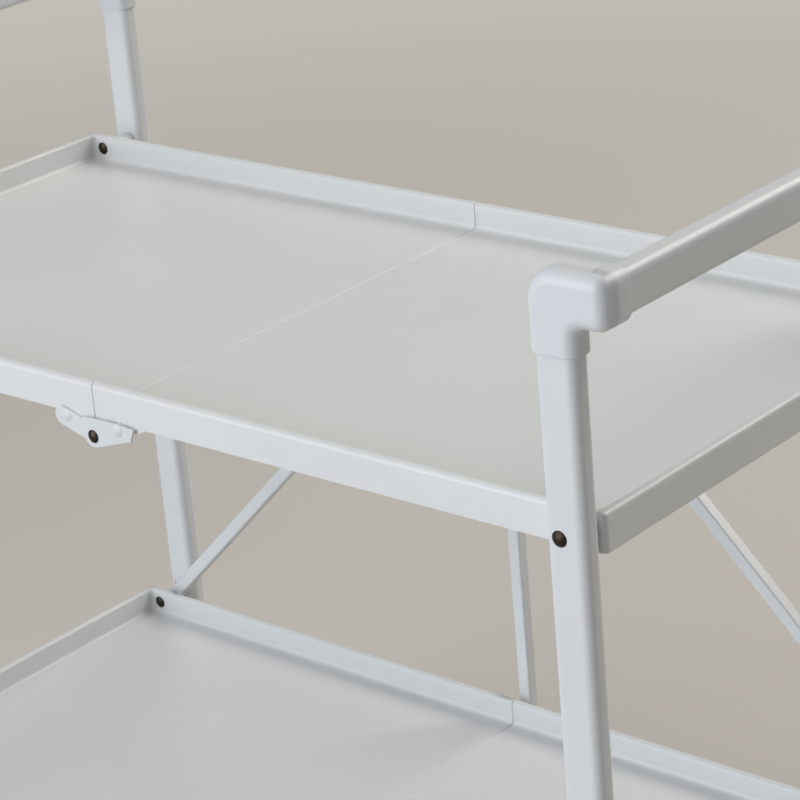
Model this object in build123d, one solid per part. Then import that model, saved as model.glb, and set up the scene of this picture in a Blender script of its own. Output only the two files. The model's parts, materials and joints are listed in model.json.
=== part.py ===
from build123d import *
import math
import os

# A two-tier bar cart that folds flat, in millimetres.
# X runs along the trays, Y from front to back and Z up from the floor.
# The origin is on the floor, in the middle of the cart's outer box.

# Overall height, to the top of the elbows, and height of the lower tray's rim
cart_height = 860.0
lower_rim = 237.3

# Tray sizes
tray_length = 898.0
tray_depth = 444.5
flange_height = 27.0
rim_width = 8.0
rim_radius = 3.0
deck_drop = 21.7
deck_bend = 4.0
tray_corner = 3.0
sheet = 0.9
seam_gap = 0.3

# Leg and handle tube
tube_wide = 31.0
tube_thick = 18.0
tube_corner = 7.0
tube_wall = 1.2

# Where the legs stand round the trays
front_leg_gap = 4.0
back_leg_gap = 26.0
pivot_inset = 18.6
pivot_drop = 11.6
leg_offset = 3.7

# Moulded elbows and handles
handle_rise = 147.0
handle_outset = 30.9
elbow_wall = 2.5
elbow_skirt = 19.0
elbow_arm = 28.0
elbow_shoulder = 22.0
elbow_armpit = 6.0
elbow_round = 9.0
elbow_nose = 6.0
elbow_socket = 38.0
socket_clearance = 0.1

# Lower cross tube of each end frame
crossbar_height = 25.0
crossbar_thick = 12.0
crossbar_corner = 4.0
crossbar_level = 128.0

# Pivot rivets and the spacers on them
rivet_radius = 3.0
rivet_head_radius = 5.6
rivet_head_height = 2.4
spacer_radius = 6.0
running_clearance = 0.05

# Centre hinges
hinge_drop = 12.5
leaf_thickness = 2.0
leaf_gap = 0.1
leaf_boss = 8.0
link_boss = 5.5
leaf_ear = 4.5
leaf_lobe = 7.5
leaf_rivet_reach = 25.5
leaf_rivet_rise = 9.5
leaf_rivet_radius = 2.5
leaf_rivet_head_radius = 5.0
leaf_rivet_head_height = 2.2
leaf_rivet_tail = 1.2
leaf_end_low_x = 35.5
leaf_end_low_z = 3.5
leaf_end_high_x = 39.5
leaf_end_high_z = 12.0
leaf_back_x = 7.0
hinge_pin_radius = 2.5
hinge_pin_head_radius = 5.0
hinge_pin_head_height = 2.2
hinge_pin_tail = 1.2

# Hinge brackets, spot welded inside the rim and joggled out below it
bracket_near = 12.0
left_bracket_far = 32.0
right_bracket_far = 51.0
bracket_thickness = 1.5
bracket_rise = 13.0
bracket_hang = 4.1

# Back strut, sliding collar and braces
stay_width = 12.0
stay_corner = 2.0
stay_wall = 1.0
stay_gap = 10.0
stay_end = 7.0
collar_clearance = 0.15
collar_half_width = 10.0
collar_height = 22.0
collar_lug_reach = 17.0
collar_lug_radius = 7.0
collar_ear = 3.5
collar_ear_clearance = 0.2
collar_round = 1.5
collar_stud_radius = 3.0
collar_stud_head_radius = 4.5
collar_stud_head_height = 2.0
fold_limit = 86.0

# Casters
wheel_radius = 25.0
wheel_width = 20.0
wheel_crown = 3.0
wheel_recess = 3.0
wheel_hub_radius = 9.0
wheel_web_radius = 19.0
wheel_clearance = 3.0
caster_trail = 17.0
fork_gap = 0.8
fork_plate = 2.2
fork_foot_radius = 8.0
fork_crown_radius = 10.2
fork_crown_height = 5.0
fork_ring_height = 2.0
fork_ring_radius = 7.8
axle_radius = 3.0
axle_head_radius = 5.0
axle_head_height = 1.6
stem_radius = 5.0
stem_length = 34.0
plug_flange = 3.0
plug_length = 38.0

# One overrun serves every cut that runs through a face, and one fine length tells places apart
overrun = 2.0
fine = 0.01

# Signs of the two sides and the two long edges
sides = {"left": -1, "right": 1}
ends = {"front": -1, "back": 1}
leg_gap = {"front": front_leg_gap, "back": back_leg_gap}
bracket_far = {"left": left_bracket_far, "right": right_bracket_far}

# Places worked out from the sizes above
tray_edge = tray_depth / 2
elbow_height = elbow_skirt + tube_wide + 2 * elbow_wall
elbow_half_depth = tube_thick / 2 + elbow_wall
front_reach = tray_edge + front_leg_gap + tube_thick + elbow_wall
back_reach = tray_edge + back_leg_gap + tube_thick + elbow_wall
tray_y = (front_reach - back_reach) / 2
caster_height = 2 * wheel_radius + wheel_clearance + fork_crown_height + fork_ring_height
leg_bottom = caster_height + plug_flange
upper_rim = cart_height - handle_rise - tube_wide / 2 - elbow_wall
rim_level = {"upper": upper_rim, "lower": lower_rim}
tray_spacing = upper_rim - lower_rim
elbow_bottom = upper_rim + handle_rise - tube_wide / 2 - elbow_wall - elbow_skirt
pivot_x = tray_length / 2 - pivot_inset
leg_x = pivot_x + leg_offset
hinge_depth = flange_height + hinge_drop
pin_fall = hinge_depth - pivot_drop
stay_layer = stay_gap + stay_width / 2
lug_depth = hinge_depth + collar_lug_reach
brace_rise = tray_spacing + pivot_drop - lug_depth
brace_run = pivot_x - collar_lug_reach
brace_length = math.hypot(brace_rise, brace_run)
brace_angle = math.degrees(math.atan2(brace_run, brace_rise))
fold_turn = math.radians(fold_limit)
folded_half_width = pivot_x * math.cos(fold_turn) + pin_fall * math.sin(fold_turn)
folded_pin_rise = pivot_x * math.sin(fold_turn) - pin_fall * math.cos(fold_turn)
folded_brace_angle = math.degrees(math.asin((folded_half_width - collar_lug_reach) / brace_length))
folded_lug_rise = brace_length * math.cos(math.radians(folded_brace_angle)) - folded_pin_rise
collar_travel = tray_spacing - collar_lug_reach - folded_lug_rise


def out_y(end, distance):
    """Y of a point that lies a distance outside the trays' front or back face."""
    return tray_y + ends[end] * (tray_edge + distance)


def leg_y(end):
    return out_y(end, leg_gap[end] + tube_thick / 2)


def slab(sketch, y_from, y_to):
    """A flat shape drawn in X and Z, as thick as the space between two Y places."""
    low = min(y_from, y_to)
    high = max(y_from, y_to)
    return extrude(Plane.XZ.offset(-low) * sketch, amount=low - high)


def tube_section(wide, thick, corner, wall):
    outer = RectangleRounded(wide, thick, corner)
    inner = RectangleRounded(wide - 2 * wall, thick - 2 * wall, corner - wall)
    return outer - inner


def block(x_from, x_to, y_from, y_to, z_from, z_to):
    """A plain block between three pairs of places, for cutting and for folding round."""
    solid = Box(x_to - x_from, y_to - y_from, z_to - z_from)
    return Pos((x_from + x_to) / 2, (y_from + y_to) / 2, (z_from + z_to) / 2) * solid


def flat_edges(solid, z, past_x):
    """Edges that lie level at one height, beyond an X place."""
    level = solid.edges().filter_by(lambda edge: abs(edge.center().Z - z) < fine)
    return level.filter_by(lambda edge: edge.center().X > past_x)


def bore(radius, x, z, y_from, y_to):
    return slab(Pos(x, z) * Circle(radius), y_from, y_to)


def polar(middle, radius, angle):
    return (middle[0] + radius * math.cos(angle), middle[1] + radius * math.sin(angle))


def belt(rounds):
    """Flat shape of a belt drawn tight round circles, each (x, y, radius), listed anticlockwise."""
    count = len(rounds)
    leaving = []
    for index, (x, y, radius) in enumerate(rounds):
        next_x, next_y, next_radius = rounds[(index + 1) % count]
        along = math.atan2(next_y - y, next_x - x)
        reach = math.hypot(next_x - x, next_y - y)
        leaving.append(along - math.acos((radius - next_radius) / reach))
    with BuildSketch() as shape:
        with BuildLine():
            for index, (x, y, radius) in enumerate(rounds):
                next_x, next_y, next_radius = rounds[(index + 1) % count]
                angle = leaving[index]
                Line(polar((x, y), radius, angle), polar((next_x, next_y), next_radius, angle))
                if radius:
                    turn = (angle - leaving[index - 1]) % math.tau
                    start = polar((x, y), radius, angle - turn)
                    middle = polar((x, y), radius, angle - turn / 2)
                    ThreePointArc(start, middle, polar((x, y), radius, angle))
        make_face()
    return shape.sketch


def crown_arc(radius, base, height):
    """The arc of a low dome, from its rim to its top."""
    bend = (radius**2 + height**2) / (2 * height)
    half = math.asin(radius / bend) / 2
    middle = (bend * math.sin(half), base + height - bend * (1 - math.cos(half)))
    return ThreePointArc((radius, base), middle, (0, base + height))


def headed_pin(radius, length, head_radius, head_height, tail_radius=0, tail_height=0):
    """A pin up the Z axis: domed head above its length, flat clenched tail below."""
    with BuildSketch(Plane.XZ) as outline:
        with BuildLine():
            crown_arc(head_radius, length, head_height)
            Line((0, length + head_height), (0, -tail_height))
            if tail_height:
                Polyline((0, -tail_height), (tail_radius, -tail_height), (tail_radius, 0), (radius, 0))
            else:
                Line((0, 0), (radius, 0))
            Polyline((radius, 0), (radius, length), (head_radius, length))
        make_face()
    return revolve(outline.sketch, Axis.Z)


def along_y(solid, end, x, distance, z):
    """Turns a solid's Z axis to point out of the trays, and sets it at its place."""
    return Pos(x, out_y(end, distance), z) * Rot(-90 * ends[end], 0, 0) * solid


def sided(solid, side):
    """The right-hand shape as drawn, or its mirror image for the left."""
    return solid if side == "right" else mirror(solid, about=Plane.YZ)


# Tray halves


def tray_pan(level, side):
    """Half a tray: deck, raised rim folded over into an outer flange, and a lip at the seam."""
    near = seam_gap / 2
    far = tray_length / 2
    pan = block(near, far, -tray_edge, tray_edge, -flange_height, 0)
    pan = fillet(pan.edges().filter_by(Axis.Z).sort_by(Axis.X)[-2:], tray_corner)
    wall = tray_edge - rim_width
    basin = block(near - overrun, far - rim_width, -wall, wall, -deck_drop, overrun)
    basin = fillet(basin.edges().filter_by(Axis.Z).sort_by(Axis.X)[-2:], deck_bend)
    basin = fillet(flat_edges(basin, -deck_drop, near), deck_bend)
    pan = pan - basin
    pan = fillet(flat_edges(pan, 0, near + overrun), rim_radius)
    pan = pan - rim_hollow(near, far)
    for end in ends:
        reach = ends[end] * tray_edge
        inner = ends[end] * (tray_edge - rim_width - overrun)
        outer = reach + ends[end] * overrun
        pan = pan - bore(rivet_radius + running_clearance, pivot_x, -pivot_drop, inner, outer)
    return Pos(0, tray_y, rim_level[level]) * sided(pan, side)


def rim_hollow(near, far):
    """What lies under the folded sheet: the channel inside the rim and the space below the deck."""
    skin = tray_edge - sheet
    hollow = block(near + sheet, far - sheet, -skin, skin, -flange_height - overrun, -sheet)
    corners = hollow.edges().filter_by(Axis.Z).sort_by(Axis.X)[-2:]
    hollow = fillet(corners, tray_corner - sheet)
    hollow = fillet(flat_edges(hollow, -sheet, near + overrun), rim_radius - sheet)
    wall = tray_edge - rim_width + sheet
    inner = block(near - overrun, far - rim_width + sheet, -wall, wall, -deck_drop - sheet, overrun)
    inner = fillet(inner.edges().filter_by(Axis.Z).sort_by(Axis.X)[-2:], deck_bend + sheet)
    inner = fillet(flat_edges(inner, -deck_drop - sheet, near), deck_bend + sheet)
    return hollow - inner


def bracket_shapes(side):
    """Flat shapes of a bracket about the middle of the flange's lower edge: strip above, foot below."""
    length = bracket_far[side] - bracket_near
    middle = sides[side] * (bracket_near + length / 2)
    strip = Pos(middle, bracket_rise / 2) * Rectangle(length, bracket_rise)
    tab = Pos(middle, -bracket_hang / 2) * Rectangle(length, bracket_hang)
    ear = Pos(sides[side] * leaf_rivet_reach, leaf_rivet_rise - hinge_drop) * Circle(leaf_ear)
    below = Pos(middle, -leaf_ear - bracket_hang) * Rectangle(length, 2 * (leaf_ear + bracket_hang))
    return strip, tab + (ear & below)


def hinge_brackets(level, side):
    """Joggled strips inside the front and back rims, hanging below to carry the hinge leaves."""
    flange_low = rim_level[level] - flange_height
    strip, foot = bracket_shapes(side)
    inside = sheet + bracket_thickness
    pieces = []
    for end in ends:
        piece = slab(Pos(0, flange_low) * strip, out_y(end, -inside), out_y(end, -sheet))
        piece = piece + slab(Pos(0, flange_low) * foot, out_y(end, -inside), out_y(end, 0))
        x = sides[side] * leaf_rivet_reach
        z = rim_level[level] - hinge_depth + leaf_rivet_rise
        hole = bore(leaf_rivet_radius, x, z, out_y(end, -inside - overrun), out_y(end, overrun))
        pieces.append(piece - hole)
    return pieces


def leaf_outline(side):
    """Flat shape of a hinge leaf round the pin: a lobed link on the left, a pointed plate on the right."""
    if side == "left":
        return belt([(0, 0, link_boss), (-leaf_rivet_reach, leaf_rivet_rise, leaf_lobe)])
    boss = (0, 0, leaf_boss)
    end_low = (leaf_end_low_x, leaf_end_low_z, 0)
    end_high = (leaf_end_high_x, leaf_end_high_z, 0)
    ear = (leaf_rivet_reach, leaf_rivet_rise, leaf_ear)
    return belt([boss, end_low, end_high, ear, (-leaf_back_x, leaf_end_high_z, 0)])


def leaf_layer(side):
    """How far outside the tray's face a leaf starts: left leaf first, right leaf over it."""
    return 0 if side == "left" else leaf_thickness + leaf_gap


def hinge_leaves(level, side):
    pin_z = rim_level[level] - hinge_depth
    start = leaf_layer(side)
    pieces = []
    for end in ends:
        outline = leaf_outline(side)
        outline = outline - Circle(hinge_pin_radius + running_clearance)
        outline = outline - Pos(sides[side] * leaf_rivet_reach, leaf_rivet_rise) * Circle(leaf_rivet_radius)
        pieces.append(slab(Pos(0, pin_z) * outline, out_y(end, start), out_y(end, start + leaf_thickness)))
    return pieces


def leaf_rivets(level, side):
    """Domed rivets that hold each leaf to its bracket, with a shoulder under the outer leaf."""
    x = sides[side] * leaf_rivet_reach
    z = rim_level[level] - hinge_depth + leaf_rivet_rise
    inside = sheet + bracket_thickness
    length = inside + leaf_layer(side) + leaf_thickness
    pieces = []
    for end in ends:
        rivet = headed_pin(
            leaf_rivet_radius,
            length,
            leaf_rivet_head_radius,
            leaf_rivet_head_height,
            leaf_rivet_radius + leaf_rivet_tail,
            leaf_rivet_tail,
        )
        if leaf_layer(side):
            shoulder = extrude(Circle(leaf_rivet_head_radius), amount=leaf_layer(side))
            rivet = rivet + Pos(0, 0, inside) * shoulder
        pieces.append(along_y(rivet, end, x, -inside, z))
    return pieces


def hinge_pins(level):
    """A short pin at the front and a long one at the back, which also carries the strut."""
    stack = 2 * leaf_thickness + leaf_gap
    lengths = {"front": stack, "back": stay_gap + stay_width}
    pieces = []
    for end in ends:
        pin = headed_pin(
            hinge_pin_radius,
            lengths[end],
            hinge_pin_head_radius,
            hinge_pin_head_height,
            hinge_pin_radius + hinge_pin_tail,
            hinge_pin_tail,
        )
        pieces.append(along_y(pin, end, 0, 0, rim_level[level] - hinge_depth))
    return pieces


def ring(outer, inner, length):
    return extrude(Circle(outer) - Circle(inner), amount=length)


def hinge_spacer(level):
    """Tube on the long pin that keeps the strut off the hinge leaves."""
    start = 2 * leaf_thickness + leaf_gap
    tube = ring(hinge_pin_head_radius, hinge_pin_radius + running_clearance, stay_gap - start)
    return along_y(tube, "back", 0, start, rim_level[level] - hinge_depth)


# End frames


def leg(side, end):
    """Rounded flat tube from the caster plug up into the elbow, drilled for its two pivots."""
    top = elbow_bottom + elbow_socket
    tube = extrude(tube_section(tube_wide, tube_thick, tube_corner, tube_wall), amount=top - leg_bottom)
    tube = Pos(sides[side] * leg_x, leg_y(end), leg_bottom) * tube
    for level in rim_level:
        hole = bore(
            rivet_radius + running_clearance,
            sides[side] * pivot_x,
            rim_level[level] - pivot_drop,
            out_y(end, leg_gap[end] - overrun),
            out_y(end, leg_gap[end] + tube_thick + overrun),
        )
        tube = tube - hole
    return tube


def elbow_outline():
    """Front view of an elbow: leg socket, round shoulder and the block that turns back to the handle."""
    left = -tube_wide / 2 - elbow_wall
    right = tube_wide / 2 + elbow_wall
    outer = handle_outset + tube_thick / 2 + elbow_wall
    corner = tube_corner + elbow_wall
    under = elbow_skirt
    with BuildSketch() as face:
        with BuildLine():
            Polyline((left, 0), (left, elbow_height), (outer, elbow_height), (outer, under))
            Polyline((outer, under), (right, under), (right, 0), (left, 0))
        make_face()
        shoulder = face.vertices().filter_by(lambda v: v.X < 0 and v.Y > under)
        fillet(shoulder, elbow_shoulder)
        fillet(face.vertices().filter_by(lambda v: v.X > right + overrun), corner)
        armpit = face.vertices().filter_by(lambda v: abs(v.X - right) < overrun and v.Y > under - overrun)
        fillet(armpit, elbow_armpit)
    return face.sketch


def elbow_shape():
    """Right front elbow about its leg's centre line, with its mouth at zero height."""
    body = slab(elbow_outline(), -elbow_half_depth, elbow_half_depth)
    faces = [body.faces().sort_by(Axis.Y)[0], body.faces().sort_by(Axis.Y)[-1]]
    rims = [edge for face in faces for edge in face.edges() if edge.center().Z > overrun / 2]
    body = fillet(rims, elbow_round)
    arm_z = elbow_skirt + elbow_wall + tube_wide / 2
    corner = tube_corner + elbow_wall
    arm = RectangleRounded(tube_thick + 2 * elbow_wall, tube_wide + 2 * elbow_wall, corner)
    body = body + slab(Pos(handle_outset, arm_z) * arm, 0, elbow_arm - elbow_half_depth)
    wide = tube_wide + 2 * socket_clearance
    thick = tube_thick + 2 * socket_clearance
    leg_hole = RectangleRounded(wide, thick, tube_corner + socket_clearance)
    body = body - Pos(0, 0, -overrun) * extrude(leg_hole, amount=elbow_socket + overrun)
    handle_hole = Pos(handle_outset, arm_z) * RectangleRounded(thick, wide, tube_corner + socket_clearance)
    return body - slab(handle_hole, elbow_nose - elbow_half_depth, elbow_arm)


def elbow(side, end):
    shape = sided(elbow_shape(), side)
    if end == "back":
        shape = mirror(shape, about=Plane.XZ)
    return Pos(sides[side] * leg_x, leg_y(end), elbow_bottom) * shape


def handle(side):
    """Tube along Y that plugs into the two elbows, its wide side upright."""
    nose = elbow_half_depth - elbow_nose
    section = tube_section(tube_thick, tube_wide, tube_corner, tube_wall)
    place = Pos(sides[side] * (leg_x + handle_outset), upper_rim + handle_rise)
    return slab(place * section, leg_y("front") - nose, leg_y("back") + nose)


def crossbar(side):
    """Lower tube welded between the two legs of a frame."""
    section = tube_section(crossbar_thick, crossbar_height, crossbar_corner, tube_wall)
    place = Pos(sides[side] * leg_x, crossbar_level)
    inner = tube_thick / 2
    return slab(place * section, leg_y("front") + inner, leg_y("back") - inner)


def foot_plugs(side):
    """Moulded plugs in the feet of the legs, bored for the caster stems."""
    pieces = []
    inset = tube_wall + socket_clearance
    for end in ends:
        cap = extrude(RectangleRounded(tube_wide, tube_thick, tube_corner), amount=plug_flange)
        body = RectangleRounded(tube_wide - 2 * inset, tube_thick - 2 * inset, tube_corner - inset)
        plug = cap + extrude(body, amount=plug_length)
        plug = plug - Cylinder(stem_radius + running_clearance, 2 * stem_length)
        pieces.append(Pos(sides[side] * leg_x, leg_y(end), caster_height) * plug)
    return pieces


def pivot_rivets(side):
    """Long rivets from inside the tray's rim to the outer face of the leg, domed at both ends."""
    pieces = []
    for level in rim_level:
        for end in ends:
            length = rim_width + leg_gap[end] + tube_thick
            rivet = headed_pin(rivet_radius, length, rivet_head_radius, rivet_head_height)
            inner = headed_pin(rivet_radius, rivet_radius, rivet_head_radius, rivet_head_height)
            rivet = rivet + Pos(0, 0, rivet_radius) * Rot(180, 0, 0) * inner
            z = rim_level[level] - pivot_drop
            pieces.append(along_y(rivet, end, sides[side] * pivot_x, -rim_width, z))
    return pieces


def pivot_spacers(side):
    """Tubes on the pivot rivets that hold the legs off the trays and leave room for the brace."""
    outer_start = stay_gap + stay_width
    runs = [
        ("upper", "front", 0, front_leg_gap),
        ("lower", "front", 0, front_leg_gap),
        ("upper", "back", 0, back_leg_gap),
        ("lower", "back", 0, stay_gap),
        ("lower", "back", outer_start, back_leg_gap),
    ]
    pieces = []
    for level, end, start, stop in runs:
        tube = ring(spacer_radius, rivet_radius + running_clearance, stop - start)
        z = rim_level[level] - pivot_drop
        pieces.append(along_y(tube, end, sides[side] * pivot_x, start, z))
    return pieces


# Strut, collar and braces


def stay(length, near_radius, far_radius):
    """Square tube up the Z axis from one pin hole to the next, its ends rounded round the pins."""
    half = stay_width / 2
    outline = belt([(0, half - stay_end, half), (0, length + stay_end - half, half)])
    body = slab(outline, -half, half)
    long_edges = body.edges().filter_by(Axis.Z)
    body = fillet(long_edges, stay_corner)
    inside = stay_width - 2 * stay_wall
    corner = stay_corner - stay_wall
    hollow = extrude(RectangleRounded(inside, inside, corner), amount=length + 2 * stay_end + 2 * overrun)
    body = body - Pos(0, 0, -stay_end - overrun) * hollow
    body = body - bore(near_radius + running_clearance, 0, 0, -stay_width, stay_width)
    return body - bore(far_radius + running_clearance, 0, length, -stay_width, stay_width)


def strut():
    """Upright that joins the two centre hinges at the back."""
    tube = stay(tray_spacing, hinge_pin_radius, hinge_pin_radius)
    return Pos(0, out_y("back", stay_layer), rim_level["lower"] - hinge_depth) * tube


def brace(side):
    """Diagonal tube from the lower back pivot up to the collar."""
    tube = stay(brace_length, rivet_radius, collar_stud_radius)
    lean = Rot(0, -sides[side] * brace_angle, 0)
    z = rim_level["lower"] - pivot_drop
    return Pos(sides[side] * pivot_x, out_y("back", stay_layer), z) * lean * tube


def collar():
    """Moulded slide on the strut, with a pair of ears each side for the ends of the braces."""
    half = stay_width / 2
    outline = belt([(sign * collar_lug_reach, 0, collar_lug_radius) for sign in sides.values()])
    outline = outline + Rectangle(2 * collar_half_width, collar_height)
    reach = half + collar_ear_clearance + collar_ear
    body = slab(outline, -reach, reach)
    slot = half + collar_ear_clearance
    for sign in sides.values():
        near = sign * collar_half_width
        far = sign * 2 * collar_lug_reach
        body = body - block(min(near, far), max(near, far), -slot, slot, -collar_height, collar_height)
    faces = [body.faces().sort_by(Axis.Y)[0], body.faces().sort_by(Axis.Y)[-1]]
    body = fillet([edge for face in faces for edge in face.edges()], collar_round)
    hole = stay_width + 2 * collar_clearance
    sleeve = extrude(RectangleRounded(hole, hole, stay_corner), amount=2 * collar_height)
    body = body - Pos(0, 0, -collar_height) * sleeve
    for sign in sides.values():
        lug_hole = bore(collar_stud_radius, sign * collar_lug_reach, 0, -2 * reach, 2 * reach)
        body = body - lug_hole
    return Pos(0, out_y("back", stay_layer), upper_rim - lug_depth) * body


def collar_studs():
    """Short headed studs through the collar's ears, one each side of a brace's end."""
    inner = stay_width / 2 + collar_ear_clearance
    pieces = []
    for sign in sides.values():
        for face in (-1, 1):
            head = (collar_stud_head_radius, collar_stud_head_height)
            stud = headed_pin(collar_stud_radius, collar_ear, *head)
            y = out_y("back", stay_layer) + face * inner
            place = Pos(sign * collar_lug_reach, y, upper_rim - lug_depth)
            pieces.append(place * Rot(-90 * face, 0, 0) * stud)
    return pieces


# Casters


def caster_fork():
    """Yoke about the swivel axis from the floor up, with its wheel towards +Y, and a stem."""
    inner = wheel_width / 2 + fork_gap
    outer = inner + fork_plate
    top = caster_height - fork_ring_height
    crown_low = top - fork_crown_height
    crown = [(fork_crown_radius, top, 0), (-fork_crown_radius, top, 0), (-fork_crown_radius, crown_low, 0)]
    side_view = belt([(caster_trail, wheel_radius, fork_foot_radius), *crown])
    body = extrude(Plane.YZ.offset(-outer) * side_view, amount=2 * outer)
    arms = Rectangle(2 * outer, 2 * caster_trail + fork_foot_radius)
    plan = Circle(fork_crown_radius) + Pos(0, caster_trail) * arms
    body = body & extrude(plan, amount=caster_height)
    reach = wheel_radius + caster_trail
    body = body - block(-inner, inner, -reach, reach, 0, crown_low)
    body = body + Pos(0, 0, top) * extrude(Circle(fork_ring_radius), amount=fork_ring_height)
    body = body + Pos(0, 0, top) * extrude(Circle(stem_radius), amount=fork_ring_height + stem_length)
    hole = Plane.YZ.offset(-2 * outer) * Pos(caster_trail, wheel_radius) * Circle(axle_radius)
    return body - extrude(hole, amount=4 * outer)


def caster_wheel():
    """Moulded wheel about the X axis: crowned tread, dished web and hub, bored for the axle."""
    half = wheel_width / 2
    shoulder = wheel_radius - wheel_crown
    web = half - wheel_recess
    profile = [
        (-half, axle_radius + running_clearance),
        (-half, wheel_hub_radius),
        (-web, wheel_hub_radius + wheel_recess / 2),
        (-web, wheel_web_radius - wheel_recess / 2),
        (-half, wheel_web_radius),
        (-half, shoulder),
    ]
    mirrored = [(-x, r) for x, r in reversed(profile)]
    with BuildSketch(Plane.XY) as outline:
        with BuildLine():
            Polyline(*profile)
            ThreePointArc(profile[-1], (0, wheel_radius), mirrored[0])
            Polyline(*mirrored)
            Line(mirrored[-1], profile[0])
        make_face()
    return revolve(outline.sketch, Axis.X)


def caster_axle():
    """Riveted axle along X with a domed head on each side of the fork."""
    reach = wheel_width / 2 + fork_gap + fork_plate
    half_axle = headed_pin(axle_radius, reach, axle_head_radius, axle_head_height)
    right = Rot(0, 90, 0) * half_axle
    return right + mirror(right, about=Plane.YZ)


def caster_place(solid, side, end):
    """Sets a caster piece under its leg, with the wheel trailing in towards the middle."""
    turned = solid if end == "front" else Rot(0, 0, 180) * solid
    return Pos(sides[side] * leg_x, leg_y(end), 0) * turned


def frame_nodes(side):
    return {
        f"{side}_front_leg": leg(side, "front"),
        f"{side}_back_leg": leg(side, "back"),
        f"{side}_front_elbow": elbow(side, "front"),
        f"{side}_back_elbow": elbow(side, "back"),
        f"{side}_handle": handle(side),
        f"{side}_crossbar": crossbar(side),
        f"{side}_foot_plugs": foot_plugs(side),
        f"{side}_pivot_rivets": pivot_rivets(side),
        f"{side}_pivot_spacers": pivot_spacers(side),
    }


def tray_nodes(level, side):
    name = f"{level}_{side}"
    return {
        f"{name}_tray_pan": tray_pan(level, side),
        f"{name}_hinge_brackets": hinge_brackets(level, side),
        f"{name}_hinge_leaves": hinge_leaves(level, side),
        f"{name}_leaf_rivets": leaf_rivets(level, side),
    }


def caster_nodes(side, end):
    name = f"{side}_{end}"
    hub = Pos(0, caster_trail, wheel_radius)
    return {
        f"{name}_caster_fork": caster_place(caster_fork(), side, end),
        f"{name}_caster_wheel": caster_place(hub * caster_wheel(), side, end),
        f"{name}_caster_axle": caster_place(hub * caster_axle(), side, end),
    }


def centre_nodes():
    return {
        "upper_hinge_pins": hinge_pins("upper"),
        "lower_hinge_pins": hinge_pins("lower"),
        "upper_hinge_spacer": hinge_spacer("upper"),
        "lower_hinge_spacer": hinge_spacer("lower"),
        "back_strut": strut(),
        "brace_collar": collar(),
        "collar_studs": collar_studs(),
        "left_brace": brace("left"),
        "right_brace": brace("right"),
    }


def all_nodes():
    nodes = centre_nodes()
    for side in sides:
        nodes.update(frame_nodes(side))
        for level in rim_level:
            nodes.update(tray_nodes(level, side))
        for end in ends:
            nodes.update(caster_nodes(side, end))
    return nodes


def main():
    os.makedirs("parts", exist_ok=True)
    for name, shape in all_nodes().items():
        solids = shape if isinstance(shape, list) else [shape]
        found = [solid for piece in solids for solid in piece.solids()]
        export_step(Compound(children=found), f"parts/{name}.step")


if __name__ == "__main__":
    main()
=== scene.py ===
# %% [markdown]
# # A folding bar cart, dressed in Blender
# The cart's steel frame, trays, hinges and casters are already worked out as
# a fixed frame. This lesson gives each of its pieces the soft edges and the
# finish of the real one. Every piece is drawn in millimetres, with bmesh
# operators, and is turned to metres once, when it is finished.

# %% Load the fixed frame
import json
import math

import bmesh
import bpy
from mathutils import Euler, Matrix, Vector


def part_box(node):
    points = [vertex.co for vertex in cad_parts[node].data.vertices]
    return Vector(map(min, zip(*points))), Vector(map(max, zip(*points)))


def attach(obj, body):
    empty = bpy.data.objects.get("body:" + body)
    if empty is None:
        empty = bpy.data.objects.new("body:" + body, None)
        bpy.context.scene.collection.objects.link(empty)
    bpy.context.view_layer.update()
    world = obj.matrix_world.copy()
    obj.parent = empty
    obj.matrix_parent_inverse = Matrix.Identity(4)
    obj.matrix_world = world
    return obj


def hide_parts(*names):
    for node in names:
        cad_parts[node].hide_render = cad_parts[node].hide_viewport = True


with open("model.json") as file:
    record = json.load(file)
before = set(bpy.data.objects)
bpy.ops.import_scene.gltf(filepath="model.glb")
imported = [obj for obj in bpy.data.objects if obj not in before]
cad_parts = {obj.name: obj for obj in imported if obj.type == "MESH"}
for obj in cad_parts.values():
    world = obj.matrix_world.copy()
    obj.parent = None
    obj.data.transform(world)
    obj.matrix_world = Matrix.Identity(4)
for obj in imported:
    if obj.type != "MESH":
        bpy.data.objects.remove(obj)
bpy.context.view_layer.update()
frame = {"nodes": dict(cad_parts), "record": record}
print("nodes in the frame:", len(frame["nodes"]))

# %% [markdown]
# The frame says where everything is. A node's box gives the place and the
# size of a piece, so no place is guessed twice, and the record says which
# moving body each node belongs to.

# %% Places read from the frame
MM = 0.001
SIDES = {"left": -1, "right": 1}
ENDS = {"front": -1, "back": 1}
LEVELS = ("upper", "lower")
BODIES = frame["record"]["behaviour"]["bodies"]
BODY_OF = {node: body for body, nodes in BODIES.items() for node in nodes}


def corners(node):
    """The two corners of a node's box, in millimetres."""
    low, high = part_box(node)
    return low / MM, high / MM


def middle(node):
    """The middle of a node's box, in millimetres."""
    low, high = corners(node)
    return (low + high) / 2


pan_low, pan_high = corners("upper_right_tray_pan")
rim_level = {level: corners(f"{level}_right_tray_pan")[1].z for level in LEVELS}
face_y = {"front": pan_low.y, "back": pan_high.y}
leg_low, leg_high = corners("right_front_leg")
tube_wide, tube_thick = leg_high.x - leg_low.x, leg_high.y - leg_low.y
leg_x = (leg_low.x + leg_high.x) / 2
leg_y = {end: middle(f"right_{end}_leg").y for end in ENDS}
leg_gap = {end: abs(leg_y[end] - face_y[end]) - tube_thick / 2 for end in ENDS}
print("rims at", {k: round(v, 1) for k, v in rim_level.items()}, "mm, legs at x", round(leg_x, 1))

# %% [markdown]
# A few lengths say how the cart folds. The trays turn on pivots near their
# outer ends, just under the rim. The centre hinge pins hang lower still,
# below the flanges, so that the middle of a tray can swing up.

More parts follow.
